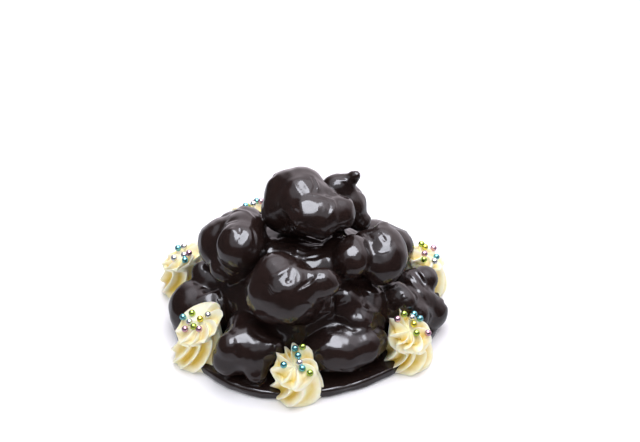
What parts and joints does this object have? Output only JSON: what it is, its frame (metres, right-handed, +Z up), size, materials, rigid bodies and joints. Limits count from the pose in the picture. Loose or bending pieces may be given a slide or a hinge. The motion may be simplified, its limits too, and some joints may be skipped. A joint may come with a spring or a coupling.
{
  "type": "profiterole cake",
  "caption": "Mound of choux puffs under dark chocolate glaze on a thin glazed disc, ringed with piped buttercream rosettes that carry small sugar pearls.",
  "frame": {"origin": "middle of the disc's underside, on the surface the cake stands on", "axes": "+Z up, -Y towards the front of the cake, +X to its right"},
  "size_m": [0.1795, 0.1778, 0.0988],
  "materials": {
    "chocolate_glaze": "glossy poured glaze",
    "buttercream": "smooth piped cream"
  },
  "bodies": {
    "root": {"base_disc": "chocolate_glaze", "glazed_centre": "chocolate_glaze", "puff_back": "chocolate_glaze", "puff_back_left": "chocolate_glaze", "puff_back_right": "chocolate_glaze", "puff_front_left": "chocolate_glaze", "puff_front_right": "chocolate_glaze", "puff_inner_right": "chocolate_glaze", "puff_left": "chocolate_glaze", "puff_left_rear": "chocolate_glaze", "puff_right": "chocolate_glaze", "puff_top": "chocolate_glaze", "puff_top_back": "chocolate_glaze", "puff_upper_back": "chocolate_glaze", "puff_upper_front": "chocolate_glaze", "puff_upper_left": "chocolate_glaze", "puff_upper_middle": "chocolate_glaze", "puff_upper_right": "chocolate_glaze", "rosette_0": "buttercream", "rosette_1": "buttercream", "rosette_2": "buttercream", "rosette_3": "buttercream", "rosette_4": "buttercream", "rosette_5": "buttercream", "rosette_6": "buttercream"}
  },
  "joints": []
}
